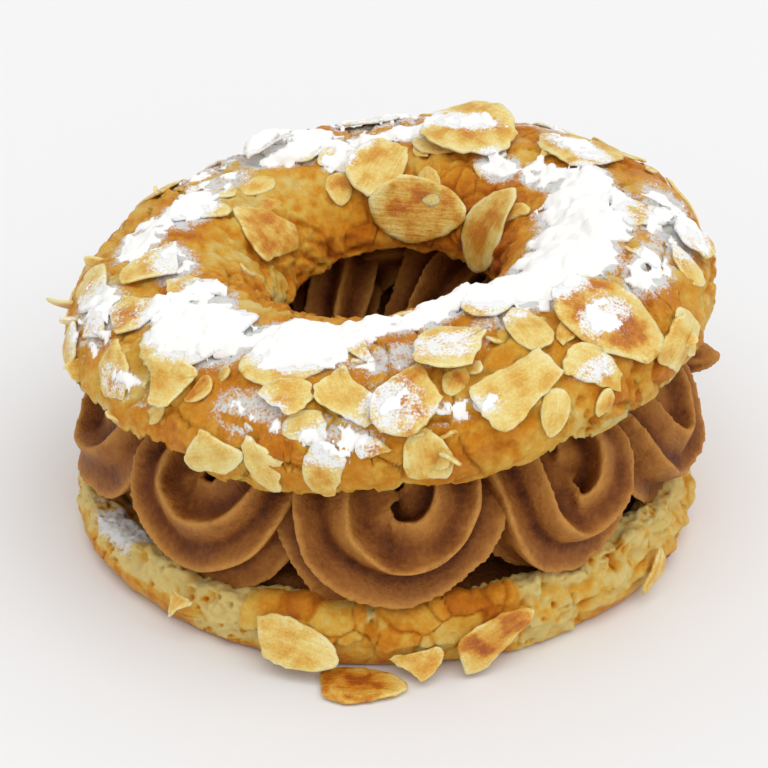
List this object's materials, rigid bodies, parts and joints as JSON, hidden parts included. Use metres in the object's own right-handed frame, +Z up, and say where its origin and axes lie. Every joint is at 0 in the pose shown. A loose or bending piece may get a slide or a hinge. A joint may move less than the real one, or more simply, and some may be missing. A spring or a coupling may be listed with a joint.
{
  "type": "paris brest pastry",
  "caption": "Ring of choux pastry split into lid and base, filled with star-piped praline cream swirls, with flaked almonds baked onto the crust.",
  "frame": {"origin": "middle of the pastry's box, on the plane it rests on", "axes": "+Z up through the hole of the ring, -Y towards the front, where the base's folded rim and the flake lying on the floor are"},
  "size_m": [0.1174, 0.1218, 0.0622],
  "materials": {
    "choux_crust": "baked golden, semi-gloss, dusted with icing sugar",
    "choux_base": "pale golden crust with torn crumb at the rim",
    "praline_cream": "satin milk-chocolate-brown praline cream",
    "almond": "toasted, with a fine grain"
  },
  "bodies": {
    "root": {"base_almond_01": "almond", "base_almond_02": "almond", "base_almond_03": "almond", "base_almond_04": "almond", "base_almond_05": "almond", "base_almond_06": "almond", "base_almond_07": "almond", "base_choux": "choux_base", "cream_bed": "praline_cream", "cream_swirl_01": "praline_cream", "cream_swirl_02": "praline_cream", "cream_swirl_03": "praline_cream", "cream_swirl_04": "praline_cream", "cream_swirl_05": "praline_cream", "cream_swirl_06": "praline_cream", "cream_swirl_07": "praline_cream", "cream_swirl_08": "praline_cream", "cream_swirl_09": "praline_cream", "cream_swirl_10": "praline_cream", "floor_almond": "almond", "lid_almond_01": "almond", "lid_almond_02": "almond", "lid_almond_03": "almond", "lid_almond_04": "almond", "lid_almond_05": "almond", "lid_almond_06": "almond", "lid_almond_07": "almond", "lid_almond_08": "almond", "lid_almond_09": "almond", "lid_almond_10": "almond", "lid_almond_11": "almond", "lid_almond_12": "almond", "lid_almond_13": "almond", "lid_almond_14": "almond", "lid_almond_15": "almond", "lid_almond_16": "almond", "lid_almond_17": "almond", "lid_almond_18": "almond", "lid_almond_19": "almond", "lid_almond_20": "almond", "lid_almond_21": "almond", "lid_almond_22": "almond", "lid_almond_23": "almond", "lid_almond_24": "almond", "lid_almond_25": "almond", "lid_almond_26": "almond", "lid_almond_27": "almond", "lid_almond_28": "almond", "lid_almond_29": "almond", "lid_almond_30": "almond", "lid_almond_31": "almond", "lid_almond_32": "almond", "lid_almond_33": "almond", "lid_almond_34": "almond", "lid_almond_35": "almond", "lid_almond_36": "almond", "lid_almond_37": "almond", "lid_almond_38": "almond", "lid_choux": "choux_crust"}
  },
  "joints": []
}
